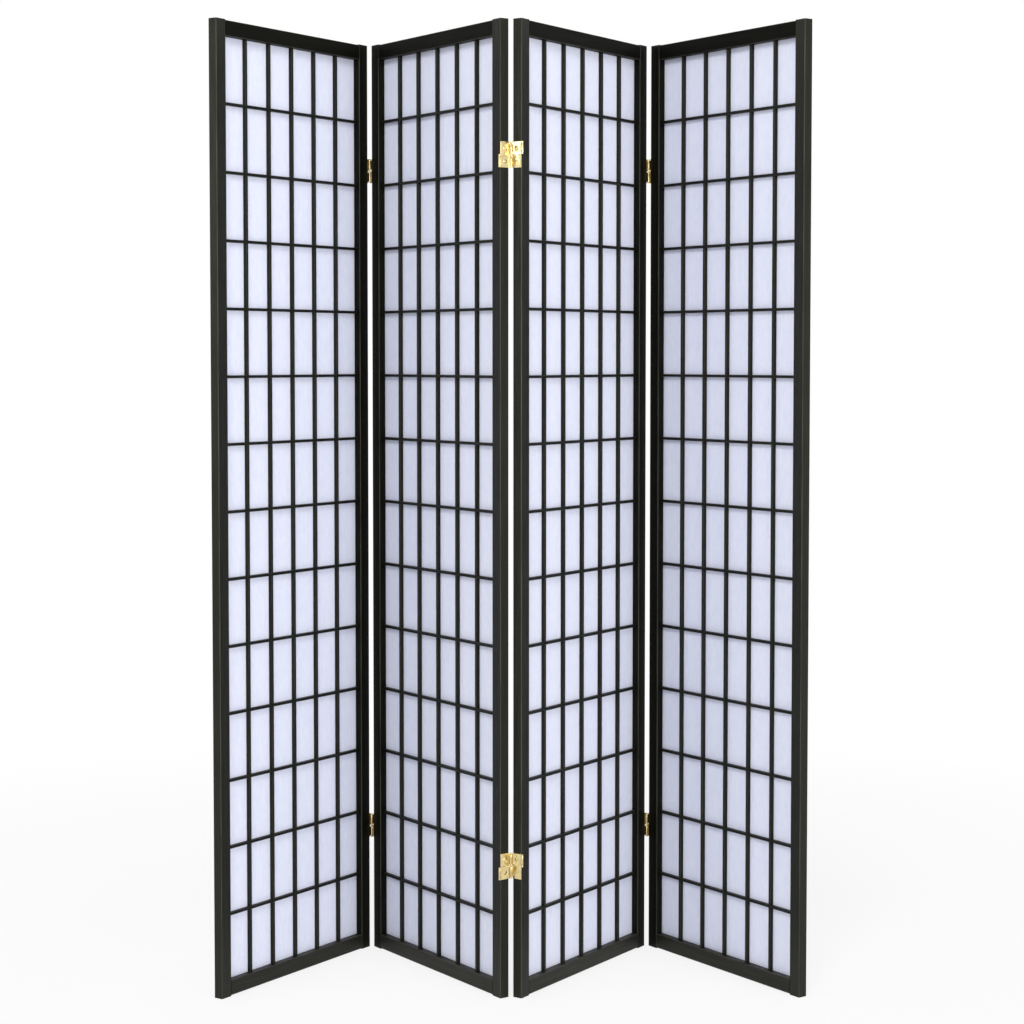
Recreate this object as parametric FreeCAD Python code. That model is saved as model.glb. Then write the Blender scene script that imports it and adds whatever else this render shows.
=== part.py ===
import FreeCAD, Part
import math
import os

os.makedirs("parts", exist_ok=True)

# A four-panel folding screen: wooden frames with a half-lapped lattice over
# paper, joined by double-action hinges. All sizes are in millimetres.
# Each panel is drawn lying along +X, its front at y = 0, and then stood in place.

# Panels
panel_height = 1784.35
panel_width = 440.0
panel_thickness = 19.0
panel_angle = 55.2  # of every panel to the line of the screen, as it stands

# Frame
stile_width = 26.0
rail_height = 28.0
rail_inset = 1.2  # the rails stop this short of the stiles' ends
frame_chamfer = 1.2
tenon_length = 12.0
tenon_thickness = 6.5
tenon_height = 18.0
rebate_width = 6.0

# Lattice and paper
vertical_muntins = 5
horizontal_muntins = 13
muntin_width = 5.2
muntin_recess = 6.3  # from the frame's front to the lattice's front
muntin_depth = 7.6
paper_thickness = 0.4
paper_margin = 0.5  # left round the paper in its rebate
bead_width = 9.0

# Double-action hinges
hinge_height = 47.0
hinge_from_end = 244.0  # from each end of the panel to the hinge's middle
leaf_thickness = 1.0
link_thickness = 1.0
barrel_radius = 2.2
pin_radius = 1.15
pin_clearance = 0.05
pin_offset = 3.0  # from the panel's face out to the pin
half_gap = 0.4  # between the hinge's upper and lower half
barrel_length = 18.0
end_clearance = 0.3  # beside each barrel, along the pin
link_clearance = 0.5  # round a barrel, to the link's edge
round_sides = 12  # flats that stand for the small rounds of pins and barrels

# What follows from these
pin_reach = barrel_radius  # from the panel's end to the pin
hinge_half = hinge_height / 2
opening_left = stile_width
opening_right = panel_width - stile_width
opening_bottom = rail_inset + rail_height
opening_top = panel_height - opening_bottom
lattice_front = muntin_recess
lattice_back = muntin_recess + muntin_depth
lap_line = muntin_recess + muntin_depth / 2
paper_back = lattice_back + paper_thickness
rail_middle = rail_inset + rail_height / 2

Z = FreeCAD.Vector(0, 0, 1)
X = FreeCAD.Vector(1, 0, 0)
ORIGIN = FreeCAD.Vector(0, 0, 0)


def box(x0, x1, y0, y1, z0, z1):
    """A block between two corners."""
    corner = FreeCAD.Vector(x0, y0, z0)
    return Part.makeBox(x1 - x0, y1 - y0, z1 - z0, corner)


def prism(points, direction):
    """A flat outline, pushed along a direction."""
    wire = Part.makePolygon(points + [points[0]])
    return Part.Face(wire).extrude(direction)


def muntin_places(low, high, count):
    """The lower edges of evenly spaced muntins between two frame edges."""
    cell = (high - low - count * muntin_width) / (count + 1)
    return [low + cell * (i + 1) + muntin_width * i for i in range(count)]


def tenon(x0, x1, middle):
    """The tongue of a rail inside a stile, or the mortise that takes it."""
    y0 = (lattice_back - tenon_thickness) / 2
    z0 = middle - tenon_height / 2
    return box(x0, x1, y0, y0 + tenon_thickness, z0, z0 + tenon_height)


def left_stile():
    """Upright with chamfered edges, rebated behind the opening and mortised twice."""
    c = frame_chamfer
    outline = [
        (c, 0), (stile_width - c, 0), (stile_width, c), (stile_width, panel_thickness),
        (c, panel_thickness), (0, panel_thickness - c), (0, c),
    ]
    post = prism([FreeCAD.Vector(x, y, 0) for x, y in outline], Z * panel_height)
    rebate = box(
        stile_width - rebate_width, stile_width,
        lattice_back, panel_thickness,
        opening_bottom - rebate_width, opening_top + rebate_width,
    )
    post = post.cut(rebate)
    for middle in (rail_middle, panel_height - rail_middle):
        post = post.cut(tenon(stile_width - tenon_length, stile_width, middle))
    return post


def right_stile():
    """The left upright, mirrored across the panel."""
    return left_stile().mirror(FreeCAD.Vector(panel_width / 2, 0, 0), X)


def bottom_rail():
    """Rail between the stiles, rebated behind, with a tenon at each end."""
    c = frame_chamfer
    low = rail_inset
    high = opening_bottom
    outline = [
        (c, low), (panel_thickness - c, low), (panel_thickness, low + c),
        (panel_thickness, high - rebate_width), (lattice_back, high - rebate_width),
        (lattice_back, high), (c, high), (0, high - c), (0, low + c),
    ]
    points = [FreeCAD.Vector(opening_left, y, z) for y, z in outline]
    rail = prism(points, X * (opening_right - opening_left))
    rail = rail.fuse(tenon(opening_left - tenon_length, opening_left, rail_middle))
    return rail.fuse(tenon(opening_right, opening_right + tenon_length, rail_middle))


def top_rail():
    """The bottom rail, mirrored to the head of the panel."""
    return bottom_rail().mirror(FreeCAD.Vector(0, 0, panel_height / 2), Z)


def vertical_muntin(x0):
    """Upright bar, notched halfway through from the front at each crossing."""
    outline = [(lattice_front, opening_bottom), (lattice_back, opening_bottom)]
    outline += [(lattice_back, opening_top), (lattice_front, opening_top)]
    for z0 in reversed(muntin_places(opening_bottom, opening_top, horizontal_muntins)):
        z1 = z0 + muntin_width
        outline += [(lattice_front, z1), (lap_line, z1), (lap_line, z0), (lattice_front, z0)]
    points = [FreeCAD.Vector(x0, y, z) for y, z in outline]
    return prism(points, X * muntin_width)


def horizontal_muntin(z0):
    """Level bar, notched halfway through from the back at each crossing."""
    outline = [(opening_left, lattice_front), (opening_right, lattice_front)]
    outline += [(opening_right, lattice_back)]
    for x0 in reversed(muntin_places(opening_left, opening_right, vertical_muntins)):
        x1 = x0 + muntin_width
        outline += [(x1, lattice_back), (x1, lap_line), (x0, lap_line), (x0, lattice_back)]
    outline += [(opening_left, lattice_back)]
    points = [FreeCAD.Vector(x, y, z0) for x, y in outline]
    return prism(points, Z * muntin_width)


def lattice_uprights():
    """Every upright bar of one panel."""
    places = muntin_places(opening_left, opening_right, vertical_muntins)
    return Part.makeCompound([vertical_muntin(x0) for x0 in places])


def lattice_levels():
    """Every level bar of one panel."""
    places = muntin_places(opening_bottom, opening_top, horizontal_muntins)
    return Part.makeCompound([horizontal_muntin(z0) for z0 in places])


def paper():
    """Sheet behind the lattice, its margin in the rebate."""
    reach = rebate_width - paper_margin
    return box(
        opening_left - reach, opening_right + reach,
        lattice_back, paper_back,
        opening_bottom - reach, opening_top + reach,
    )


def paper_beads():
    """Four strips that hold the paper into the rebate from behind."""
    left = opening_left - rebate_width
    right = opening_right + rebate_width
    low = opening_bottom - rebate_width
    high = opening_top + rebate_width
    y0 = paper_back
    y1 = panel_thickness
    w = bead_width
    return Part.makeCompound([
        box(left, left + w, y0, y1, low, high),
        box(right - w, right, y0, y1, low, high),
        box(left + w, right - w, y0, y1, low, low + w),
        box(left + w, right - w, y0, y1, high - w, high),
    ])


# The hinge is drawn open flat, about the middle of the gap between two panels:
# its back pins at +Y, its front pins at -Y, its upper half above z = 0.

pin_y = panel_thickness / 2 + pin_offset
barrel_low = (hinge_half + half_gap / 2 - barrel_length) / 2
barrel_high = barrel_low + barrel_length


def turned(shape, axis):
    """The shape turned half round about an axis through the hinge's middle."""
    copy = shape.copy()
    copy.rotate(ORIGIN, axis, 180)
    return copy


def many_sided(z0, z1, inner_radius):
    """An upright bar of many flats about the upper half's back pin."""
    step = 2 * math.pi / round_sides
    corner = inner_radius / math.cos(step / 2)
    angles = [step * (i + 0.5) for i in range(round_sides)]
    points = []
    for angle in angles:
        x = corner * math.cos(angle)
        y = pin_y + corner * math.sin(angle)
        points.append(FreeCAD.Vector(x, y, z0))
    return prism(points, Z * (z1 - z0))


def pin(z0, z1):
    """The pin, its corners on its own radius."""
    return many_sided(z0, z1, pin_radius * math.cos(math.pi / round_sides))


def pin_hole(z0, z1):
    """The hole that a pin turns in, its flats clear of the pin's corners."""
    return many_sided(z0, z1, pin_radius + pin_clearance)


def leaf_barrel():
    """A leaf's plate carried past the panel's back and rolled round the pin."""
    neck = box(
        -pin_reach, -pin_reach + leaf_thickness,
        panel_thickness / 2, pin_y,
        barrel_low, barrel_high,
    )
    barrel = neck.fuse(many_sided(barrel_low, barrel_high, barrel_radius))
    return barrel.cut(pin_hole(barrel_low, barrel_high))


def left_leaf():
    """Plate on the left panel's end, a barrel at its upper back and lower front."""
    plate = box(
        -pin_reach, -pin_reach + leaf_thickness,
        -panel_thickness / 2, panel_thickness / 2,
        -hinge_half, hinge_half,
    )
    barrel = leaf_barrel()
    return plate.fuse([barrel, turned(barrel, X)]).removeSplitter()


def right_leaf():
    """The left leaf turned about the hinge: upper front and lower back barrels."""
    return turned(left_leaf(), Z)


def upper_link():
    """Plate between the two upper pins, cut clear of the leaves' barrels."""
    half = link_thickness / 2
    plate = box(-half, half, -pin_y, pin_y, half_gap / 2, hinge_half)
    window = box(
        -link_thickness, link_thickness,
        pin_y - barrel_radius - link_clearance, pin_y + barrel_radius,
        barrel_low - end_clearance, barrel_high + end_clearance,
    )
    seat = pin(0, hinge_half)
    cuts = [window, turned(window, Z), seat, turned(seat, Z)]
    return plate.cut(cuts)


def upper_pins():
    """The pins along both edges of the upper link."""
    bar = pin(half_gap / 2, hinge_half)
    return Part.makeCompound([bar, turned(bar, Z)])


def lower_link():
    """The upper link turned to the lower half."""
    return turned(upper_link(), X)


def lower_pins():
    """The pins along both edges of the lower link."""
    return turned(upper_pins(), X)


# Plan of the standing screen: the first fold is towards the front, the second
# towards the back, the third towards the front again.


def panel_directions():
    """The heading of each panel, from its left end to its right."""
    return [panel_angle if i % 2 == 0 else -panel_angle for i in range(4)]


def local_to_world(heading, corner):
    """The place of a panel whose left front edge stands at a corner."""
    return FreeCAD.Placement(corner, FreeCAD.Rotation(Z, heading))


def fold_pin(end, side):
    """A fold's pin in a panel's own drawing, at its left or right end."""
    x = panel_width + pin_reach if end == "right" else -pin_reach
    y = -pin_offset if side == "front" else panel_thickness + pin_offset
    return FreeCAD.Vector(x, y, 0)


def stand_panels():
    """The place of each panel, hung one after another from the folds' pins."""
    headings = panel_directions()
    places = [local_to_world(headings[0], ORIGIN)]
    for i, side in enumerate(("front", "back", "front")):
        here = places[i].multVec(fold_pin("right", side))
        turn = FreeCAD.Rotation(Z, headings[i + 1])
        corner = here - turn.multVec(fold_pin("left", side))
        places.append(local_to_world(headings[i + 1], corner))
    return places


def centred(places):
    """The same places, moved so that the screen stands about the origin."""
    stile = box(0, panel_width, 0, panel_thickness, 0, 1)
    plan = Part.makeCompound([stile.copy().transformGeometry(p.toMatrix()) for p in places])
    bounds = plan.BoundBox
    shift = FreeCAD.Vector(-bounds.Center.x, -bounds.Center.y, 0)
    return [FreeCAD.Placement(p.Base + shift, p.Rotation) for p in places]


def placed(shape, placement):
    """A copy of the shape stood in its place."""
    copy = shape.copy()
    copy.transformShape(placement.toMatrix())
    return copy


def save(shape, name):
    """One file for each piece."""
    shape.exportStep("parts/" + name + ".step")


def hinge_pair(shape, end):
    """A hinge's piece at the foot and head of a panel's left or right end."""
    x = panel_width + pin_reach if end == "right" else -pin_reach
    pair = []
    for z in (hinge_from_end, panel_height - hinge_from_end):
        copy = shape.copy()
        copy.translate(FreeCAD.Vector(x, panel_thickness / 2, z))
        pair.append(copy)
    return Part.makeCompound(pair)


def build_panels(places):
    """Every wooden and paper piece of the four panels."""
    pieces = {
        "left_stile": left_stile(),
        "right_stile": right_stile(),
        "top_rail": top_rail(),
        "bottom_rail": bottom_rail(),
        "vertical_muntins": lattice_uprights(),
        "horizontal_muntins": lattice_levels(),
        "paper": paper(),
        "paper_beads": paper_beads(),
    }
    for number, place in enumerate(places, start=1):
        for name, shape in pieces.items():
            save(placed(shape, place), "panel_%d_%s" % (number, name))


def build_hinges(places):
    """The two hinges of each fold. A link lies on the leaf that it folds with."""
    for i, side in enumerate(("front", "back", "front")):
        left, right = places[i], places[i + 1]
        upper_on, upper_end = (left, "right") if side == "front" else (right, "left")
        lower_on, lower_end = (right, "left") if side == "front" else (left, "right")
        name = "hinges_%d_%d_" % (i + 1, i + 2)
        save(placed(hinge_pair(left_leaf(), "right"), left), name + "left_leaves")
        save(placed(hinge_pair(right_leaf(), "left"), right), name + "right_leaves")
        save(placed(hinge_pair(upper_link(), upper_end), upper_on), name + "upper_links")
        save(placed(hinge_pair(upper_pins(), upper_end), upper_on), name + "upper_pins")
        save(placed(hinge_pair(lower_link(), lower_end), lower_on), name + "lower_links")
        save(placed(hinge_pair(lower_pins(), lower_end), lower_on), name + "lower_pins")


def main():
    places = centred(stand_panels())
    build_panels(places)
    build_hinges(places)
    for i, side in enumerate(("front", "back", "front")):
        for which in ("front", "back"):
            at = places[i].multVec(fold_pin("right", which))
            print("fold", i + 1, "left panel's", which, "pin", round(at.x, 4), round(at.y, 4))
            at = places[i + 1].multVec(fold_pin("left", which))
            print("fold", i + 1, "right panel's", which, "pin", round(at.x, 4), round(at.y, 4))


main()
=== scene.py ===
import bpy
import bmesh
import math
import numpy as np
from mathutils import Matrix, Vector


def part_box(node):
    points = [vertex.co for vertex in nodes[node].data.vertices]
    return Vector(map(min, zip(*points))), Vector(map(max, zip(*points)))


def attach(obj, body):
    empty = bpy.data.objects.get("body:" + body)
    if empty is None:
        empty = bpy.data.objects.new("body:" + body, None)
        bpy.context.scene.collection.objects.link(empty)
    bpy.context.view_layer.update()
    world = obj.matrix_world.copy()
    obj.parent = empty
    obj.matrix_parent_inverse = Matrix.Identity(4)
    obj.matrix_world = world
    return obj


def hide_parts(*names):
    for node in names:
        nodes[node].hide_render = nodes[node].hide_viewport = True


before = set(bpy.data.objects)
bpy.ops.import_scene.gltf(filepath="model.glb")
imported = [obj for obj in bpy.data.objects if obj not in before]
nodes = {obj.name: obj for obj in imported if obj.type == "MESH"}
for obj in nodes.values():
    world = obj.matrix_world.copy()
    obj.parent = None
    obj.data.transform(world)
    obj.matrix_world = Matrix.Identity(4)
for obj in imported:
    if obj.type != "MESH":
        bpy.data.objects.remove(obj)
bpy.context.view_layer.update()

scene = bpy.context.scene
mm = 0.001
panelNumbers = (1, 2, 3, 4)
folds = ((1, 2, "front"), (2, 3, "back"), (3, 4, "front"))  # left panel, right panel, side it folds about


# Where each panel stands, read from the solids

def nodePoints(name):
    mesh = nodes[name].data
    points = np.zeros(len(mesh.vertices) * 3)
    mesh.vertices.foreach_get("co", points)
    return points.reshape(-1, 3)


def readPanel(number):
    sheet = nodePoints(f"panel_{number}_paper")
    left = nodePoints(f"panel_{number}_left_stile")
    right = nodePoints(f"panel_{number}_right_stile")
    plan = sheet[:, :2] - sheet[:, :2].mean(0)
    along = np.linalg.svd(plan, full_matrices=False)[2][0]
    if along @ (right.mean(0) - left.mean(0))[:2] < 0:
        along = -along
    back = np.array([-along[1], along[0]])
    stiles = np.vstack([left, right])[:, :2]
    low, front = (stiles @ along).min(), (stiles @ back).min()
    corner = along * low + back * front
    place = Matrix((
        (along[0], back[0], 0, corner[0]),
        (along[1], back[1], 0, corner[1]),
        (0, 0, 1, 0),
        (0, 0, 0, 1),
    ))
    return {
        "place": place,  # from the panel's own drawing to where it stands
        "heading": math.atan2(along[1], along[0]),
        "width": (stiles @ along).max() - low,
        "thickness": (stiles @ back).max() - front,
        "stile": (left[:, :2] @ along).max() - low,
    }


def localBox(number, piece):
    # a node's lowest and highest corner in its panel's own drawing
    inverse = panels[number]["place"].inverted()
    points = np.array([inverse @ Vector(p) for p in nodePoints(f"panel_{number}_{piece}")])
    return points.min(0), points.max(0)


panels = {number: readPanel(number) for number in panelNumbers}
print("panels stand at", [round(math.degrees(p["heading"]), 2) for p in panels.values()])


# Small helpers for node trees

def addNode(tree, kind, **settings):
    node = tree.nodes.new(kind)
    for name, value in settings.items():
        setattr(node, name, value)
    return node


def join(tree, start, end):
    tree.links.new(start, end)


def startMaterial(name):
    material = bpy.data.materials.new(name)
    material.use_nodes = True
    tree = material.node_tree
    shader = next(n for n in tree.nodes if n.type == "BSDF_PRINCIPLED")
    return material, tree, shader


def stretched(tree, heading, size, offset=(0, 0, 0)):
    # object coordinates turned to lie along a piece, then divided by the size of a mark in metres
    coordinates = addNode(tree, "ShaderNodeTexCoord")
    turn = addNode(tree, "ShaderNodeMapping")
    turn.inputs["Rotation"].default_value = (0, 0, -heading)
    turn.inputs["Location"].default_value = offset
    scale = addNode(tree, "ShaderNodeMapping")
    scale.inputs["Scale"].default_value = tuple(1 / s for s in size)
    join(tree, coordinates.outputs["Object"], turn.inputs["Vector"])
    join(tree, turn.outputs["Vector"], scale.inputs["Vector"])
    return scale.outputs["Vector"]


def noise(tree, vector, detail, roughness, distortion=0.0):
    node = addNode(tree, "ShaderNodeTexNoise")
    node.inputs["Scale"].default_value = 1.0
    node.inputs["Detail"].default_value = detail
    node.inputs["Roughness"].default_value = roughness
    node.inputs["Distortion"].default_value = distortion
    join(tree, vector, node.inputs["Vector"])
    return node.outputs["Fac"]


def between(tree, value, low, high, start, end):
    # value from low..high spread over start..end
    node = addNode(tree, "ShaderNodeMapRange")
    for name, number in (("From Min", low), ("From Max", high), ("To Min", start), ("To Max", end)):
        node.inputs[name].default_value = number
    join(tree, value, node.inputs["Value"])
    return node.outputs["Result"]


def blendColours(tree, factor, first, second):
    node = addNode(tree, "ShaderNodeMix", data_type="RGBA")
    join(tree, factor, node.inputs[0])
    for socket, colour in ((node.inputs[6], first), (node.inputs[7], second)):
        if isinstance(colour, tuple):
            socket.default_value = (*colour, 1)
        else:
            join(tree, colour, socket)
    return node.outputs[2]


def arithmetic(tree, operation, first, second):
    node = addNode(tree, "ShaderNodeMath", operation=operation)
    for socket, value in zip(node.inputs, (first, second)):
        if isinstance(value, (int, float)):
            socket.default_value = value
        else:
            join(tree, value, socket)
    return node.outputs[0]


def mixed(tree, first, firstShare, second, secondShare):
    scaled = [arithmetic(tree, "MULTIPLY", value, share)
              for value, share in ((first, firstShare), (second, secondShare))]
    return arithmetic(tree, "ADD", *scaled)


def addRelief(tree, shader, height, strength, distance):
    bump = addNode(tree, "ShaderNodeBump")
    bump.inputs["Strength"].default_value = strength
    bump.inputs["Distance"].default_value = distance
    join(tree, height, bump.inputs["Height"])
    join(tree, bump.outputs["Normal"], shader.inputs["Normal"])


# Finishes

woodFinish = {
    "dark": (0.0030, 0.0030, 0.0020),
    "light": (0.0128, 0.0128, 0.0088),
    "pore": (0.0012, 0.0012, 0.0008),
    "paintedHighlight": (0.0640, 0.0630, 0.0500),  # painted highlight: a lighter line along the eased edges where they catch the light
    "highlightShare": (0.25, 0.75),  # share of the painted highlight colour, from the dark streaks to the light ones
    # size across and along the grain, then the noise's detail, roughness and distortion
    "streakMark": ((2.6 * mm, 90 * mm), 5, 0.6, 0.4),
    "poreMark": ((0.7 * mm, 16 * mm), 3, 0.5),
    "cloudMark": ((40 * mm, 420 * mm), 2, 0.5),
    # where each noise starts and ends its change
    "streakRange": (0.30, 0.72),
    "poreRange": (0.30, 0.42),
    "cloudRange": (0.3, 0.7),
    "highlightRange": (0.35, 0.6),
    "roughnessRange": (0.3, 0.7),
    "edgeRange": (0.25, 0.5),
    "clouding": 0.16,  # how far the stain drifts to dark or light
    "poreShow": 0.7,
    "streakHeight": 0.5,  # beside the depth of a pore
    "relief": (0.35, 0.15 * mm),  # strength and height
    "roughness": (0.36, 0.54),
    "sheen": 0.225,  # before each kind's own share
    "sheenTint": (1.00, 0.99, 0.84),
}


def easedEdges(tree, heading):
    # 1 on faces that lie at 45 degrees between a piece's sides, 0 on the sides themselves
    coordinates = addNode(tree, "ShaderNodeTexCoord")
    turn = addNode(tree, "ShaderNodeMapping", vector_type="VECTOR")
    turn.inputs["Rotation"].default_value = (0, 0, -heading)
    apart = addNode(tree, "ShaderNodeSeparateXYZ")
    join(tree, coordinates.outputs["Normal"], turn.inputs["Vector"])
    join(tree, turn.outputs["Vector"], apart.inputs[0])
    x, y, z = (arithmetic(tree, "ABSOLUTE", out, 0) for out in apart.outputs)
    level = arithmetic(tree, "MULTIPLY", x, y)
    upright = arithmetic(tree, "MULTIPLY", y, z)
    return between(tree, arithmetic(tree, "MAXIMUM", level, upright), *woodFinish["edgeRange"], 0.0, 1.0)


def blackStainedWood(name, heading, upright, toneAndPaintedShade, sheenAndPaintedShade):
    material, tree, shader = startMaterial(name)

    def mark(key):
        (across, along), *character = woodFinish[key]
        size = (across, across, along) if upright else (along, across, across)
        return noise(tree, stretched(tree, heading, size), *character)

    streak, pore, cloud = mark("streakMark"), mark("poreMark"), mark("cloudMark")
    # the lightness and sheen shares carry painted shade for some kinds of piece
    dark, light = (tuple(c * toneAndPaintedShade for c in woodFinish[key]) for key in ("dark", "light"))
    drift = woodFinish["clouding"]
    stain = arithmetic(
        tree, "ADD",
        between(tree, streak, *woodFinish["streakRange"], 0.0, 1.0),
        between(tree, cloud, *woodFinish["cloudRange"], -drift, drift),
    )
    colour = blendColours(tree, stain, dark, light)
    openPore = between(tree, pore, *woodFinish["poreRange"], 1.0, 0.0)
    poreShare = arithmetic(tree, "MULTIPLY", openPore, woodFinish["poreShow"])
    colour = blendColours(tree, poreShare, colour, woodFinish["pore"])
    # a painted highlight on the eased edges, patchy along the streaks
    patchy = between(tree, streak, *woodFinish["highlightRange"], *woodFinish["highlightShare"])
    paintedEdgeHighlight = arithmetic(tree, "MULTIPLY", easedEdges(tree, heading), patchy)
    colour = blendColours(tree, paintedEdgeHighlight, colour, woodFinish["paintedHighlight"])
    join(tree, colour, shader.inputs["Base Color"])
    smooth, rough = woodFinish["roughness"]
    roughness = between(tree, streak, *woodFinish["roughnessRange"], rough, smooth)
    join(tree, roughness, shader.inputs["Roughness"])
    shader.inputs["Specular IOR Level"].default_value = woodFinish["sheen"] * sheenAndPaintedShade
    shader.inputs["Specular Tint"].default_value = (*woodFinish["sheenTint"], 1)
    raised = arithmetic(tree, "MULTIPLY", streak, woodFinish["streakHeight"])
    addRelief(tree, shader, arithmetic(tree, "SUBTRACT", raised, openPore), *woodFinish["relief"])
    return material


paperFinish = {
    "thin": (0.800, 0.825, 0.950),
    "thick": (0.865, 0.885, 0.985),
    "fibre": (0.890, 0.905, 0.985),
    # size across and up the sheet, then the noise's detail, roughness and distortion
    "mottleMark": ((9 * mm, 22 * mm), 4, 0.65),
    "streakMark": ((1.6 * mm, 45 * mm), 4, 0.6, 0.3),
    "pulp": (0.55, 0.45),  # shares of the mottle and the streaks
    "pulpRange": (0.38, 0.62),
    "fibreCell": (4.5 * mm, 20 * mm),  # across and up the sheet
    "fibreStart": (0.3, 0.1, 0.2),
    "fibreWander": 2.2,
    "fibreCurl": 0.6,
    "fibreWidth": 0.05,
    "fibreShow": 0.55,
    "fibreHeight": 0.5,
    "relief": (0.25, 0.12 * mm),  # strength and height
    "roughness": 0.85,
    "sheen": 0.2,
    "lightThrough": 0.22,
}


def fibrousPaper(name, heading):
    material, tree, shader = startMaterial(name)

    def alongSheet(size, offset=(0, 0, 0)):
        across, up = size
        return stretched(tree, heading, (across, across, up), offset)

    def mark(key):
        size, *character = paperFinish[key]
        return noise(tree, alongSheet(size), *character)

    mottleShare, streakShare = paperFinish["pulp"]
    pulp = mixed(tree, mark("mottleMark"), mottleShare, mark("streakMark"), streakShare)
    cover = between(tree, pulp, *paperFinish["pulpRange"], 0.0, 1.0)
    colour = blendColours(tree, cover, paperFinish["thin"], paperFinish["thick"])

    # long pressed fibres, as the edges between stretched, wandering cells
    where = alongSheet(paperFinish["fibreCell"], paperFinish["fibreStart"])
    wander = addNode(tree, "ShaderNodeTexNoise")
    wander.inputs["Scale"].default_value = paperFinish["fibreCurl"]
    join(tree, where, wander.inputs["Vector"])
    pushed = addNode(tree, "ShaderNodeVectorMath", operation="MULTIPLY_ADD")
    join(tree, wander.outputs["Color"], pushed.inputs[0])
    pushed.inputs[1].default_value = (paperFinish["fibreWander"],) * 3
    join(tree, where, pushed.inputs[2])
    cells = addNode(tree, "ShaderNodeTexVoronoi", feature="DISTANCE_TO_EDGE")
    cells.inputs["Scale"].default_value = 1.0
    join(tree, pushed.outputs[0], cells.inputs["Vector"])
    fibre = between(tree, cells.outputs["Distance"], 0.0, paperFinish["fibreWidth"], 1.0, 0.0)
    fibreShare = arithmetic(tree, "MULTIPLY", fibre, paperFinish["fibreShow"])
    colour = blendColours(tree, fibreShare, colour, paperFinish["fibre"])
    join(tree, colour, shader.inputs["Base Color"])
    shader.inputs["Roughness"].default_value = paperFinish["roughness"]
    shader.inputs["Specular IOR Level"].default_value = paperFinish["sheen"]
    raised = arithmetic(tree, "MULTIPLY", fibre, paperFinish["fibreHeight"])
    addRelief(tree, shader, arithmetic(tree, "ADD", raised, pulp), *paperFinish["relief"])

    through = addNode(tree, "ShaderNodeBsdfTranslucent")
    join(tree, colour, through.inputs["Color"])
    both = addNode(tree, "ShaderNodeMixShader")
    both.inputs[0].default_value = paperFinish["lightThrough"]
    join(tree, shader.outputs[0], both.inputs[1])
    join(tree, through.outputs[0], both.inputs[2])
    out = next(n for n in tree.nodes if n.type == "OUTPUT_MATERIAL")
    join(tree, both.outputs[0], out.inputs["Surface"])
    return material


brassFinish = {
    "bright": (0.770, 0.635, 0.335),
    "screwBright": (0.700, 0.580, 0.320),
    "dull": (0.480, 0.370, 0.150),
    # size of the mark along x, y and z, then the noise's detail and roughness
    "cloudMark": ((5 * mm, 5 * mm, 7 * mm), 5, 0.65),
    "brushMark": ((0.35 * mm, 0.35 * mm, 6 * mm), 3, 0.6),
    "dullRange": (0.45, 0.75),
    "dullShow": 0.8,
    "worked": (0.6, 0.4),  # shares of the clouds and the brush marks in the roughness
    "workedRange": (0.35, 0.65),
    "roughness": (0.12, 0.26),
    "relief": (0.22, 0.05 * mm),  # strength and height
}


def rolledBrass(name, bright, dull):
    material, tree, shader = startMaterial(name)

    def mark(key):
        size, *character = brassFinish[key]
        return noise(tree, stretched(tree, 0, size), *character)

    cloud, brushed = mark("cloudMark"), mark("brushMark")
    dulled = between(tree, cloud, *brassFinish["dullRange"], 0.0, brassFinish["dullShow"])
    join(tree, blendColours(tree, dulled, bright, dull), shader.inputs["Base Color"])
    shader.inputs["Metallic"].default_value = 1.0
    cloudShare, brushShare = brassFinish["worked"]
    worked = mixed(tree, cloud, cloudShare, brushed, brushShare)
    roughness = between(tree, worked, *brassFinish["workedRange"], *brassFinish["roughness"])
    join(tree, roughness, shader.inputs["Roughness"])
    addRelief(tree, shader, arithmetic(tree, "ADD", brushed, cloud), *brassFinish["relief"])
    return material


def eachPanel(makeFinish, name, *settings):
    return {n: makeFinish(f"{name}{n}", panels[n]["heading"], *settings) for n in panelNumbers}


woodKinds = {  # whether the grain stands upright, then shares of the stain's lightness and of the sheen; the lower shares at the folds, on the top rails and on the level bars are painted shade
    "Upright": (True, 1.0, 1.0),
    # darker and duller where the folds meet: painted shade
    "AtFoldPaintedShade": (True, 0.45, 0.40),
    "Level": (False, 0.9, 1.0),
    # darker and duller on the top rails: painted shade
    "Head": (False, 0.35, 0.25),
    "UprightBar": (True, 0.85, 1.0),
    # darker and duller on the level bars: painted shade
    "LevelBarPaintedShade": (False, 0.7, 0.75),
}
wood = {
    kind: eachPanel(blackStainedWood, f"blackStained{kind}", *settings)
    for kind, settings in woodKinds.items()
}
paper = eachPanel(fibrousPaper, "fibrousPaper")
hingeBrass = rolledBrass("rolledBrass", brassFinish["bright"], brassFinish["dull"])
screwBrass = rolledBrass("screwBrass", brassFinish["screwBright"], brassFinish["dull"])


def finish(obj, material):
    obj.data.materials.clear()
    obj.data.materials.append(material)


for number in panelNumbers:
    name = f"panel_{number}_"
    atFold = "left_stile" if number % 2 == 0 else "right_stile"  # where the forward folds meet: this stile gets darker, duller wood as painted shade
    for piece in ("left_stile", "right_stile", "paper_beads"):
        finish(nodes[name + piece], wood["AtFoldPaintedShade" if piece == atFold else "Upright"][number])
    # the top rails' darker, duller wood is painted shade
    finish(nodes[name + "top_rail"], wood["Head"][number])
    finish(nodes[name + "bottom_rail"], wood["Level"][number])
    finish(nodes[name + "paper"], paper[number])
print("finishes made")


# Geometry Nodes trees: what repeats is made once here and placed by rule

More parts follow.
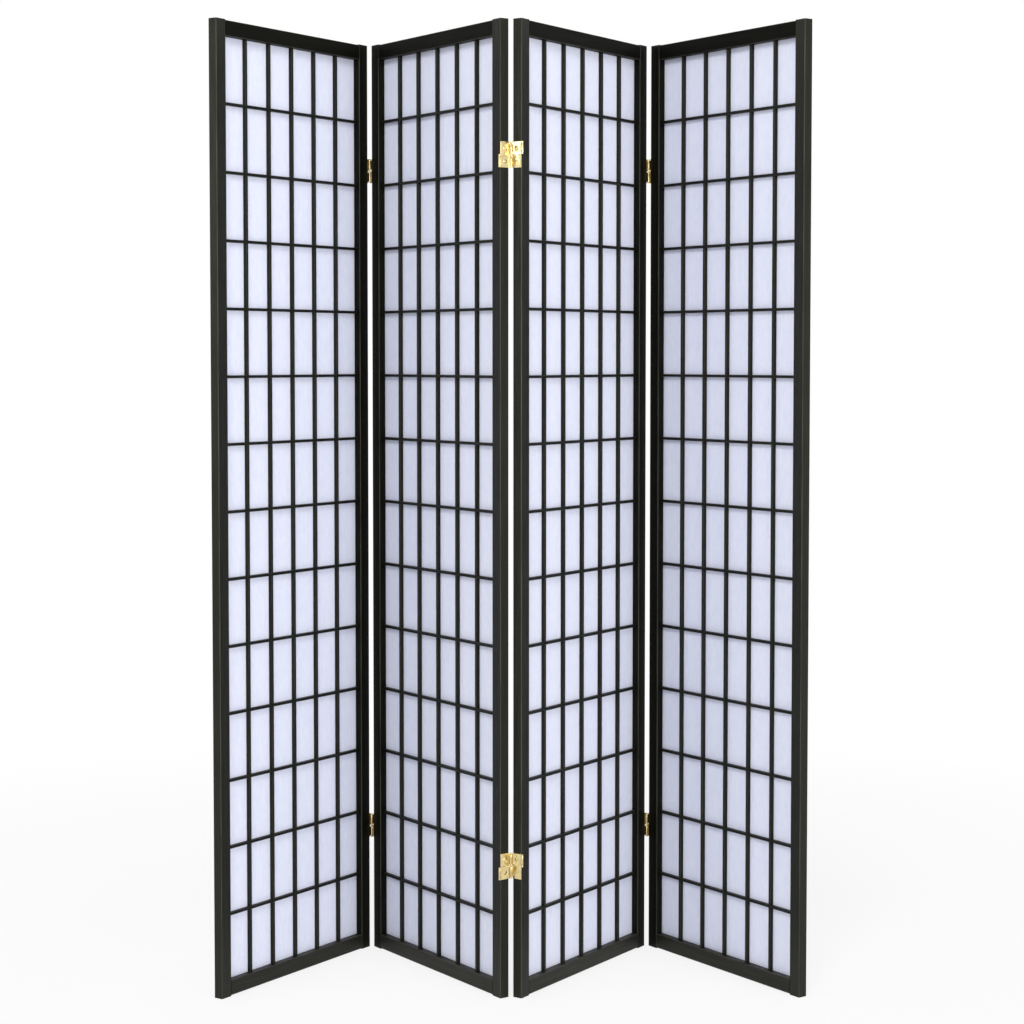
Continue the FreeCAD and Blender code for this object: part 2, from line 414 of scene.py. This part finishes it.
def startTree(name, inputs):
    tree = bpy.data.node_groups.new(name, "GeometryNodeTree")
    tree.interface.new_socket("Geometry", in_out="OUTPUT", socket_type="NodeSocketGeometry")
    for label, kind in inputs:
        tree.interface.new_socket(label, in_out="INPUT", socket_type="NodeSocket" + kind)
    source = addNode(tree, "NodeGroupInput")
    result = addNode(tree, "NodeGroupOutput")
    return tree, source.outputs, result.inputs["Geometry"]


def combine(tree, x=0.0, y=0.0, z=0.0):
    node = addNode(tree, "ShaderNodeCombineXYZ")
    for socket, value in zip(node.inputs, (x, y, z)):
        if isinstance(value, (int, float)):
            socket.default_value = value
        else:
            join(tree, value, socket)
    return node.outputs[0]


def lineOfPoints(tree, start, end, count=None):
    # evenly spaced, from start to end: two of them where no count is joined
    line = addNode(tree, "GeometryNodeMeshLine", mode="END_POINTS")
    join(tree, start, line.inputs["Start Location"])
    join(tree, end, line.inputs["Offset"])
    if count is None:
        line.inputs["Count"].default_value = 2
    else:
        join(tree, count, line.inputs["Count"])
    return line.outputs[0]


def instancesOn(tree, points, instance):
    node = addNode(tree, "GeometryNodeInstanceOnPoints")
    join(tree, points, node.inputs["Points"])
    join(tree, instance, node.inputs["Instance"])
    return node.outputs[0]


def closeTree(tree, geometry, material, result):
    real = addNode(tree, "GeometryNodeRealizeInstances")
    paint = addNode(tree, "GeometryNodeSetMaterial")
    join(tree, geometry, real.inputs[0])
    join(tree, real.outputs[0], paint.inputs["Geometry"])
    join(tree, material, paint.inputs["Material"])
    join(tree, paint.outputs[0], result)


def grow(tree, name, values, place):
    # runs a tree on an empty mesh, keeps the result and stands it in its place
    made = bpy.data.objects.new(name, bpy.data.meshes.new(name))
    scene.collection.objects.link(made)
    modifier = made.modifiers.new("grow", "NODES")
    modifier.node_group = tree
    sockets = {s.name: s.identifier for s in tree.interface.items_tree if s.in_out == "INPUT"}
    for label, value in values.items():
        modifier[sockets[label]] = value
    evaluated = made.evaluated_get(bpy.context.evaluated_depsgraph_get())
    mesh = bpy.data.meshes.new_from_object(evaluated)
    made.modifiers.remove(modifier)
    made.data = mesh
    mesh.name = name
    mesh.transform(place)
    mesh.update()
    return made


def latticeTree():
    # even bars across an opening: each bar is an eased profile swept along its length
    tree, value, result = startTree("latticeBars", (
        ("Bars", "Int"), ("Opening start", "Float"), ("Opening end", "Float"),
        ("Bar width", "Float"), ("Bar depth", "Float"), ("Ease", "Float"),
        ("Bar start", "Float"), ("Bar end", "Float"), ("Middle of depth", "Float"),
        ("Finish", "Material"),
    ))
    profile = addNode(tree, "GeometryNodeCurvePrimitiveQuadrilateral")
    join(tree, value["Bar width"], profile.inputs["Width"])
    join(tree, value["Bar depth"], profile.inputs["Height"])
    eased = addNode(tree, "GeometryNodeFilletCurve", mode="POLY")
    eased.inputs["Count"].default_value = 2
    join(tree, profile.outputs[0], eased.inputs["Curve"])
    join(tree, value["Ease"], eased.inputs["Radius"])
    path = addNode(tree, "GeometryNodeCurvePrimitiveLine")
    join(tree, combine(tree, z=value["Bar start"]), path.inputs["Start"])
    join(tree, combine(tree, z=value["Bar end"]), path.inputs["End"])
    bar = addNode(tree, "GeometryNodeCurveToMesh")
    join(tree, path.outputs[0], bar.inputs["Curve"])
    join(tree, eased.outputs[0], bar.inputs["Profile Curve"])
    bar.inputs["Fill Caps"].default_value = True

    gaps = arithmetic(tree, "ADD", value["Bars"], 1)
    solid = arithmetic(tree, "MULTIPLY", value["Bars"], value["Bar width"])
    opening = arithmetic(tree, "SUBTRACT", value["Opening end"], value["Opening start"])
    free = arithmetic(tree, "SUBTRACT", opening, solid)
    cell = arithmetic(tree, "DIVIDE", free, gaps)
    half = arithmetic(tree, "DIVIDE", value["Bar width"], 2)
    inset = arithmetic(tree, "ADD", cell, half)
    first = arithmetic(tree, "ADD", value["Opening start"], inset)
    last = arithmetic(tree, "SUBTRACT", value["Opening end"], inset)
    start, end = (combine(tree, x=x, y=value["Middle of depth"]) for x in (first, last))
    row = lineOfPoints(tree, start, end, value["Bars"])
    closeTree(tree, instancesOn(tree, row, bar.outputs[0]), value["Finish"], result)
    return tree


def hingeTree():
    # one piece of a hinge, at the foot and at the head of a fold
    tree, value, result = startTree("hingePieces", (
        ("Piece", "Object"), ("Foot height", "Float"), ("Head height", "Float"), ("Finish", "Material"),
    ))
    piece = addNode(tree, "GeometryNodeObjectInfo")
    join(tree, value["Piece"], piece.inputs["Object"])
    foot, head = (combine(tree, z=value[end]) for end in ("Foot height", "Head height"))
    points = lineOfPoints(tree, foot, head)
    closeTree(tree, instancesOn(tree, points, piece.outputs["Geometry"]), value["Finish"], result)
    return tree


def screwTree():
    # two screws in each leaf, each turned to its own angle
    tree, value, result = startTree("leafScrews", (
        ("Screw", "Object"), ("Foot height", "Float"), ("Head height", "Float"),
        ("Screw from middle", "Float"), ("Seed", "Int"), ("Finish", "Material"),
    ))
    screw = addNode(tree, "GeometryNodeObjectInfo")
    join(tree, value["Screw"], screw.inputs["Object"])
    below = arithmetic(tree, "MULTIPLY", value["Screw from middle"], -1)
    pair = lineOfPoints(tree, combine(tree, z=below), combine(tree, z=value["Screw from middle"]))
    foot, head = (combine(tree, z=value[end]) for end in ("Foot height", "Head height"))
    hinges = lineOfPoints(tree, foot, head)
    spots = addNode(tree, "GeometryNodeRealizeInstances")
    join(tree, instancesOn(tree, hinges, pair), spots.inputs[0])
    placed = instancesOn(tree, spots.outputs[0], screw.outputs["Geometry"])
    angle = addNode(tree, "FunctionNodeRandomValue", data_type="FLOAT")
    floats = [s for s in angle.inputs if s.type == "VALUE" and s.enabled]
    floats[0].default_value, floats[1].default_value = 0.0, math.pi
    join(tree, value["Seed"], next(s for s in angle.inputs if s.name == "Seed"))
    spin = addNode(tree, "GeometryNodeRotateInstances")
    join(tree, placed, spin.inputs["Instances"])
    drawn = next(s for s in angle.outputs if s.type == "VALUE" and s.enabled)
    join(tree, combine(tree, x=drawn), spin.inputs["Rotation"])
    closeTree(tree, spin.outputs[0], value["Finish"], result)
    return tree


latticeBars, hingePieces, leafScrews = latticeTree(), hingeTree(), screwTree()
print("trees built")


# The lattice

lattice = {
    "uprights": 5,
    "levels": 13,
    "barWidth": 5.2 * mm,
    "ease": 0.45 * mm,
    "lap": 0.06 * mm,  # the level bars stand this far proud of the uprights
}


def layLattice(number):
    panel = panels[number]
    low, high = localBox(number, "vertical_muntins")
    left, right = panel["stile"], panel["width"] - panel["stile"]
    front, back = low[1], high[1]
    depth = back - front - lattice["lap"]
    shared = {"Bar width": lattice["barWidth"], "Bar depth": depth, "Ease": lattice["ease"]}
    uprights = grow(latticeBars, f"panel{number}Uprights", {
        **shared, "Bars": lattice["uprights"], "Opening start": left, "Opening end": right,
        "Bar start": low[2], "Bar end": high[2],
        "Middle of depth": back - depth / 2, "Finish": wood["UprightBar"][number],
    }, panel["place"])
    onItsSide = Matrix(((0, 0, 1, 0), (0, 1, 0, 0), (-1, 0, 0, low[2] + high[2]), (0, 0, 0, 1)))
    levels = grow(latticeBars, f"panel{number}Levels", {
        **shared, "Bars": lattice["levels"], "Opening start": low[2], "Opening end": high[2],
        "Bar start": left, "Bar end": right,
        # the level bars' darker, duller wood is painted shade
        "Middle of depth": front + depth / 2, "Finish": wood["LevelBarPaintedShade"][number],
    }, panel["place"] @ onItsSide)
    for bars, node in ((uprights, "vertical_muntins"), (levels, "horizontal_muntins")):
        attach(bars, f"panel_{number}")
        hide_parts(f"panel_{number}_{node}")


for number in panelNumbers:
    layLattice(number)
print("lattices laid")


# The hinges, drawn in millimetres about the middle of the gap between two panels:
# back pins at +Y, front pins at -Y, the upper half above z = 0

hinge = {
    "height": 47.0,
    "leafDepth": 19.0,
    "leafCorner": 0.9,  # radius
    "sheet": 1.0,  # thickness of the leaves and links
    "reach": 2.2,  # from the panel's end to the pins
    "pinY": 12.5,
    "barrel": 2.2,  # radii of the barrel, its bore and the pin
    "bore": 1.2,
    "pin": 1.15,
    "pinChamfer": 0.3,
    "pinCrown": 0.05,  # rise of the pin's outer end
    "wrapStart": 0.4,  # where the sheet starts to roll round the pin, in from the leaf's edge
    "wrapEnd": -132,  # in degrees round the pin
    "betweenHalves": 0.4,
    "knuckle": 18.0,
    "endGap": 0.3,
    "linkGap": 0.5,
    "screwHole": 3.7,  # radius
    "edge": 0.16,
    "wrapEdge": 0.8,  # share of that edge on the rolled sheet
    "edgeSegments": 2,
    "edgeProfile": 0.6,
    "sharpOver": 50,  # degrees: edges that get eased
    "smoothUnder": 32,  # degrees: edges that are shaded smooth
    "cornerSteps": 4,
    "pinSteps": 24,
    "roundSteps": 40,
}
half = hinge["height"] / 2
halfStart = hinge["betweenHalves"] / 2
knuckleLow = (half + halfStart - hinge["knuckle"]) / 2
knuckleHigh = knuckleLow + hinge["knuckle"]
screwHeight = (half + halfStart) / 2
tiny = 1e-4  # points nearer than this are one point, also in millimetres


def arc(radius, start, end, steps, cx=0.0, cy=0.0):
    turns = [math.radians(start + (end - start) * i / steps) for i in range(steps + 1)]
    return [(cx + radius * math.cos(t), cy + radius * math.sin(t)) for t in turns]


def circle(radius, steps, cx=0.0, cy=0.0):
    return arc(radius, 0, 360, steps, cx, cy)[:-1]


def joinRings(bm, rings):
    # side faces from each ring of points to the next
    for lower, upper in zip(rings, rings[1:]):
        for i in range(len(lower)):
            k = (i + 1) % len(lower)
            bm.faces.new((lower[i], lower[k], upper[k], upper[i]))


def prismMesh(outline, low, high):
    # a closed outline in x and y, raised from low to high
    bm = bmesh.new()
    bottom, top = ([bm.verts.new((x, y, z)) for x, y in outline] for z in (low, high))
    bm.faces.new(list(reversed(bottom)))
    bm.faces.new(top)
    joinRings(bm, [bottom, top])
    bmesh.ops.recalc_face_normals(bm, faces=bm.faces)
    return bm


def ringMesh(outer, inner, low, high, steps):
    bm = bmesh.new()
    rings = []
    for radius, z in ((outer, low), (outer, high), (inner, high), (inner, low)):
        rings.append([bm.verts.new((x, y, z)) for x, y in circle(radius, steps)])
    joinRings(bm, rings + rings[:1])
    bmesh.ops.recalc_face_normals(bm, faces=bm.faces)
    return bm


def easeEdges(bm, width):
    limit = math.radians(hinge["sharpOver"])
    sharp = [e for e in bm.edges if len(e.link_faces) == 2 and e.calc_face_angle() > limit]
    bmesh.ops.bevel(
        bm, geom=sharp, offset=width, segments=hinge["edgeSegments"], profile=hinge["edgeProfile"],
        affect="EDGES", clamp_overlap=True,
    )
    return bm


def gather(name, parts):
    # parts: pairs of a bmesh and the matrix that places it
    whole = bmesh.new()
    for bm, place in parts:
        piece = bpy.data.meshes.new("piece")
        bm.to_mesh(piece)
        piece.transform(place)
        whole.from_mesh(piece)
        bpy.data.meshes.remove(piece)
    bmesh.ops.scale(whole, vec=(mm, mm, mm), verts=whole.verts)
    mesh = bpy.data.meshes.new(name)
    whole.to_mesh(mesh)
    whole.free()
    for face in mesh.polygons:
        face.use_smooth = True
    mesh.set_sharp_from_angle(angle=math.radians(hinge["smoothUnder"]))
    obj = bpy.data.objects.new(name, mesh)
    scene.collection.objects.link(obj)
    return obj


asIs = Matrix.Identity(4)
overX = Matrix.Rotation(math.pi, 4, "X")  # half a turn
overZ = Matrix.Rotation(math.pi, 4, "Z")
sideways = Matrix(((0, 0, 1, 0), (1, 0, 0, 0), (0, 1, 0, 0), (0, 0, 0, 1)))  # x, y, z become y, z, x


def plate(corners, low, high, radius):
    # an outline with rounded corners, raised from low to high
    points = []
    count, steps = len(corners), hinge["cornerSteps"]
    for i, corner in enumerate(corners):
        before, here, after = (Vector(corners[(i + k) % count]) for k in (-1, 0, 1))
        toBefore, toAfter = (before - here).normalized(), (after - here).normalized()
        start, end = here + toBefore * radius, here + toAfter * radius
        for k in range(steps + 1):
            t = k / steps
            points.append(tuple(start * (1 - t) ** 2 + here * 2 * t * (1 - t) + end * t ** 2))
    return prismMesh(points, low, high)


def leafParts():
    # the left leaf: a flat plate whose sheet rolls round the back pin above and the front pin below
    deep, steps = hinge["leafDepth"] / 2, hinge["roundSteps"]
    back, face = -hinge["reach"], -hinge["reach"] + hinge["sheet"]
    corners = [(-deep, -half), (deep, -half), (deep, half), (-deep, half)]
    flat = easeEdges(plate(corners, back, face, hinge["leafCorner"]), hinge["edge"])
    wrapStart, wrapEnd = deep - hinge["wrapStart"], hinge["wrapEnd"]
    outline = [
        (back, wrapStart),
        *arc(hinge["barrel"], 180, wrapEnd, steps, 0, hinge["pinY"]),
        *arc(hinge["bore"], wrapEnd, 180, steps, 0, hinge["pinY"]),
        (face, wrapStart),
    ]
    rolled = easeEdges(prismMesh(outline, knuckleLow, knuckleHigh), hinge["edge"] * hinge["wrapEdge"])
    return [(flat, sideways), (rolled, asIs), (rolled, overX)]


def linkParts():
    # the upper half's plate with its round hole, and a knuckle at each of its four corners
    edgeY = hinge["pinY"]
    inner = edgeY - hinge["barrel"] - hinge["linkGap"]
    low, high = knuckleLow - hinge["endGap"], knuckleHigh + hinge["endGap"]
    steps = hinge["roundSteps"]
    bm = bmesh.new()

    def addFace(corners):
        bm.faces.new([bm.verts.new((0, y, z)) for y, z in corners])

    def toFrame(y, z):
        # where a line from the hole's middle through one of its points meets the middle panel's edge
        up = z - screwHeight
        room = high - screwHeight if up > 0 else screwHeight - low
        reachY = inner / abs(y) if abs(y) > tiny else math.inf
        reachZ = room / abs(up) if abs(up) > tiny else math.inf
        nearer = min(reachY, reachZ)
        return y * nearer, screwHeight + up * nearer

    hole = circle(hinge["screwHole"], steps, 0, screwHeight)
    frameEdge = [toFrame(y, z) for y, z in hole]
    for i in range(steps):
        k = (i + 1) % steps
        addFace((hole[i], hole[k], frameEdge[k], frameEdge[i]))
    for corner in ((y, z) for y in (-inner, inner) for z in (low, high)):
        near = sorted(frameEdge, key=lambda point: math.dist(point, corner))[:2]
        if math.dist(near[0], corner) > tiny:
            addFace((corner, *near))

    # a tab at each corner, and a strip above and below the middle panel that shares the points of its edge
    for y0, y1 in ((-edgeY, -inner), (inner, edgeY)):
        for z0, z1 in ((halfStart, low), (high, half)):
            addFace(((y0, z0), (y1, z0), (y1, z1), (y0, z1)))
    for outer, shared in ((halfStart, low), (half, high)):
        along = sorted((y, z) for y, z in frameEdge if abs(z - shared) < tiny and abs(y) < inner - tiny)
        addFace([(inner, outer), (-inner, outer), (-inner, shared), *along, (inner, shared)])

    bmesh.ops.remove_doubles(bm, verts=bm.verts, dist=tiny)
    bmesh.ops.recalc_face_normals(bm, faces=bm.faces)
    grown = bmesh.ops.extrude_face_region(bm, geom=bm.faces[:])
    moved = [v for v in grown["geom"] if isinstance(v, bmesh.types.BMVert)]
    bmesh.ops.translate(bm, vec=(hinge["sheet"], 0, 0), verts=moved)
    bmesh.ops.translate(bm, vec=(-hinge["sheet"] / 2, 0, 0), verts=bm.verts)
    bmesh.ops.recalc_face_normals(bm, faces=bm.faces)
    parts = [(easeEdges(bm, hinge["edge"]), asIs)]
    for z0, z1 in ((halfStart, low), (high, half)):
        for side in (1, -1):
            knuckle = easeEdges(ringMesh(hinge["barrel"], hinge["bore"], z0, z1, steps), hinge["edge"])
            parts.append((knuckle, Matrix.Translation((0, side * edgeY, 0))))
    return parts


def pinParts():
    radius, chamfer = hinge["pin"], hinge["pinChamfer"]
    outline = [
        (radius - chamfer, halfStart), (radius, halfStart + chamfer),
        (radius, half - chamfer), (radius - chamfer, half - hinge["pinCrown"]),
    ]
    bm = bmesh.new()
    steps = hinge["pinSteps"]
    rings = [[bm.verts.new((r * x, r * y, z)) for x, y in circle(1, steps)] for r, z in outline]
    ends = [bm.verts.new((0, 0, z)) for z in (halfStart, half)]
    joinRings(bm, rings)
    for i in range(steps):
        k = (i + 1) % steps
        bm.faces.new((ends[0], rings[0][k], rings[0][i]))
        bm.faces.new((ends[1], rings[-1][i], rings[-1][k]))
    bmesh.ops.recalc_face_normals(bm, faces=bm.faces)
    return [(bm, Matrix.Translation((0, side * hinge["pinY"], 0))) for side in (1, -1)]


screw = {
    "head": 3.0,  # radius
    "proud": 0.42,  # of the dome above the leaf
    # shares of the radius and of the height, from under the head to its top
    "dome": ((1.0, -0.25), (1.0, 0.05), (0.94, 0.20), (0.72, 0.62), (0.42, 0.90), (0.16, 1.0)),
    "steps": 36,
    "slot": 0.62,  # width of each arm of the cross
    "slotReach": 1.75,
    "slotDepth": 0.75,
    "slotTaper": 0.45,  # size of the cross at its floor, as a share of its size at the top
    "cutFrom": 1.0,  # height that the cross is cut from
    "seed": 10,
}


def screwParts():
    # a shallow dome with a tapered cross driven into it, its axis along x
    dome = bmesh.new()
    head, proud = screw["head"], screw["proud"]
    rings = []
    for r, h in screw["dome"]:
        rings.append([dome.verts.new((h * proud, r * head * y, r * head * z))
                      for y, z in circle(1, screw["steps"])])
    joinRings(dome, rings)
    dome.faces.new(rings[-1])
    dome.faces.new(list(reversed(rings[0])))
    bmesh.ops.recalc_face_normals(dome, faces=dome.faces)
    cross = bmesh.new()
    w, reach, taper = screw["slot"] / 2, screw["slotReach"], screw["slotTaper"]
    outline = [(w, w), (w, reach), (-w, reach), (-w, w), (-reach, w), (-reach, -w),
               (-w, -w), (-w, -reach), (w, -reach), (w, -w), (reach, -w), (reach, w)]
    top = [cross.verts.new((screw["cutFrom"], y, z)) for y, z in outline]
    bottom = [cross.verts.new((proud - screw["slotDepth"], y * taper, z * taper)) for y, z in outline]
    cross.faces.new(top)
    cross.faces.new(list(reversed(bottom)))
    joinRings(cross, [top, bottom])
    bmesh.ops.recalc_face_normals(cross, faces=cross.faces)
    return dome, cross


def cutScrew(name, place):
    dome, cross = screwParts()
    body, cutter = gather(name, [(dome, place)]), gather("cross", [(cross, place)])
    cut = body.modifiers.new("cross", "BOOLEAN")
    cut.operation, cut.solver, cut.object = "DIFFERENCE", "EXACT", cutter
    evaluated = body.evaluated_get(bpy.context.evaluated_depsgraph_get())
    mesh = bpy.data.meshes.new_from_object(evaluated)
    body.modifiers.remove(cut)
    body.data = mesh
    bpy.data.objects.remove(cutter)
    return body


leafFace = hinge["reach"] - hinge["sheet"]  # from the pins' plane to the leaf's outer face
patterns = {
    "leftLeaf": gather("leftLeafPattern", leafParts()),
    "rightLeaf": gather("rightLeafPattern", [(bm, overZ @ place) for bm, place in leafParts()]),
    "upperLink": gather("upperLinkPattern", linkParts()),
    "lowerLink": gather("lowerLinkPattern", [(bm, overX @ place) for bm, place in linkParts()]),
    "upperPins": gather("upperPinsPattern", pinParts()),
    "lowerPins": gather("lowerPinsPattern", [(bm, overX @ place) for bm, place in pinParts()]),
    "leftScrew": cutScrew("leftScrewPattern", Matrix.Translation((-leafFace, 0, 0))),
    "rightScrew": cutScrew("rightScrewPattern", overZ @ Matrix.Translation((-leafFace, 0, 0))),
}


def hangHinges(fold):
    left, right, side = fold
    reach = hinge["reach"] * mm
    onLeft, onRight = (
        panels[number]["place"] @ Matrix.Translation((along, panels[number]["thickness"] / 2, 0))
        for number, along in ((left, panels[left]["width"] + reach), (right, -reach))
    )
    upper, lower = (onLeft, onRight) if side == "front" else (onRight, onLeft)
    node = f"hinges_{left}_{right}_"
    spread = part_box(node + "left_leaves")
    heights = {
        "Foot height": spread[0].z + half * mm,
        "Head height": spread[1].z - half * mm,
    }
    for key, place, body, suffix in (
        ("leftLeaf", onLeft, f"panel_{left}", "left_leaves"),
        ("rightLeaf", onRight, f"panel_{right}", "right_leaves"),
        ("upperLink", upper, f"upper_links_{left}_{right}", "upper_links"),
        ("upperPins", upper, f"upper_links_{left}_{right}", "upper_pins"),
        ("lowerLink", lower, f"lower_links_{left}_{right}", "lower_links"),
        ("lowerPins", lower, f"lower_links_{left}_{right}", "lower_pins"),
    ):
        made = grow(hingePieces, f"fold{left}{right}{key[0].upper()}{key[1:]}", {
            "Piece": patterns[key], **heights, "Finish": hingeBrass,
        }, place)
        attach(made, body)
        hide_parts(node + suffix)
    for turn, (hand, place, panel) in enumerate((("left", onLeft, left), ("right", onRight, right))):
        made = grow(leafScrews, f"fold{left}{right}{hand.title()}Screws", {
            "Screw": patterns[hand + "Screw"], **heights, "Screw from middle": screwHeight * mm,
            "Seed": screw["seed"] * left + turn, "Finish": screwBrass,
        }, place)
        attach(made, f"panel_{panel}")


for fold in folds:
    hangHinges(fold)
for pattern in patterns.values():
    bpy.data.objects.remove(pattern)
print("hinges hung")


# Floor, light and camera

studio = {
    "floorHalf": 30.0,
    "floorBelow": 0.4 * mm,
    "floorColour": (0.90, 0.90, 0.90),
    "floorRoughness": 0.9,
    "floorSheen": 0.1,
    "floorPlain": (0.80, 1.0),  # share that shows as plain white, near the screen and far from it
    "floorReach": (0.9, 2.6),  # where near ends and far starts
    "ambient": 0.612,
    "lamps": {  # place, size and power in watts
        "key": ((-0.8, -4.6, 4.4), 1.6, 146.0),
        "fill": ((3.0, -4.2, 1.2), 2.4, 101.0),
        "side": ((-3.6, -1.55, 1.75), 0.8, 14.0),
    },
    "aim": (0.0, 0.0, 0.8),
}


def seenDirectly(tree):
    # 1 for rays from the camera, and in a mirror or through glass
    path = addNode(tree, "ShaderNodeLightPath")
    seen = arithmetic(tree, "MAXIMUM", path.outputs["Is Camera Ray"], path.outputs["Is Glossy Ray"])
    return arithmetic(tree, "MAXIMUM", seen, path.outputs["Is Transmission Ray"])


def layFloor():
    size = studio["floorHalf"]
    mesh = bpy.data.meshes.new("floor")
    z = -studio["floorBelow"]
    corners = [(-size, -size, z), (size, -size, z), (size, size, z), (-size, size, z)]
    mesh.from_pydata(corners, [], [(0, 1, 2, 3)])
    floor = bpy.data.objects.new("floor", mesh)
    scene.collection.objects.link(floor)
    material, tree, shader = startMaterial("paleFloor")
    shader.inputs["Base Color"].default_value = (*studio["floorColour"], 1)
    shader.inputs["Roughness"].default_value = studio["floorRoughness"]
    shader.inputs["Specular IOR Level"].default_value = studio["floorSheen"]
    glow = addNode(tree, "ShaderNodeEmission")
    glow.inputs["Color"].default_value = (1, 1, 1, 1)
    glow.inputs["Strength"].default_value = 1.0
    both = addNode(tree, "ShaderNodeMixShader")
    coordinates = addNode(tree, "ShaderNodeTexCoord")
    away = addNode(tree, "ShaderNodeVectorMath", operation="LENGTH")
    join(tree, coordinates.outputs["Object"], away.inputs[0])
    plain = between(tree, away.outputs["Value"], *studio["floorReach"], *studio["floorPlain"])
    join(tree, arithmetic(tree, "MULTIPLY", seenDirectly(tree), plain), both.inputs[0])
    join(tree, shader.outputs[0], both.inputs[1])
    join(tree, glow.outputs[0], both.inputs[2])
    out = next(n for n in tree.nodes if n.type == "OUTPUT_MATERIAL")
    join(tree, both.outputs[0], out.inputs["Surface"])
    mesh.materials.append(material)


def lightWorld():
    world = bpy.data.worlds.new("whiteStudio")
    world.use_nodes = True
    tree = world.node_tree
    tree.nodes.clear()
    ambient, shown = addNode(tree, "ShaderNodeBackground"), addNode(tree, "ShaderNodeBackground")
    ambient.inputs["Strength"].default_value = studio["ambient"]
    for background in (ambient, shown):
        background.inputs["Color"].default_value = (1, 1, 1, 1)
    both = addNode(tree, "ShaderNodeMixShader")
    join(tree, seenDirectly(tree), both.inputs[0])
    join(tree, ambient.outputs[0], both.inputs[1])
    join(tree, shown.outputs[0], both.inputs[2])
    join(tree, both.outputs[0], addNode(tree, "ShaderNodeOutputWorld").inputs["Surface"])
    scene.world = world


def addLamp(name, at, size, power):
    lamp = bpy.data.lights.new(name, "AREA")
    lamp.energy, lamp.size = power, size
    lamp.shape = "SQUARE"
    obj = bpy.data.objects.new(name, lamp)
    obj.location = at
    obj.rotation_mode = "QUATERNION"
    obj.rotation_quaternion = (Vector(studio["aim"]) - Vector(at)).to_track_quat("-Z", "Y")
    scene.collection.objects.link(obj)


layFloor()
lightWorld()
for name, (at, size, power) in studio["lamps"].items():
    addLamp(name, at, size, power)

view = {
    "at": (-0.0359, -4.1534, 1.1767),
    "down": 2.728,  # degrees below level
    "right": 0.547,  # degrees towards +X
    "lens": 77.02,
    "sensor": 36,
    "rise": -0.05,  # the camera's shift
}
camera = bpy.data.cameras.new("camera")
camera.lens = view["lens"]
camera.sensor_width = view["sensor"]
camera.shift_y = view["rise"]
cameraObject = bpy.data.objects.new("camera", camera)
cameraObject.location = view["at"]
cameraObject.rotation_euler = (math.radians(90 - view["down"]), 0, math.radians(-view["right"]))
scene.collection.objects.link(cameraObject)
scene.camera = cameraObject
scene.view_settings.view_transform = "Standard"
print("floor, light and camera set")
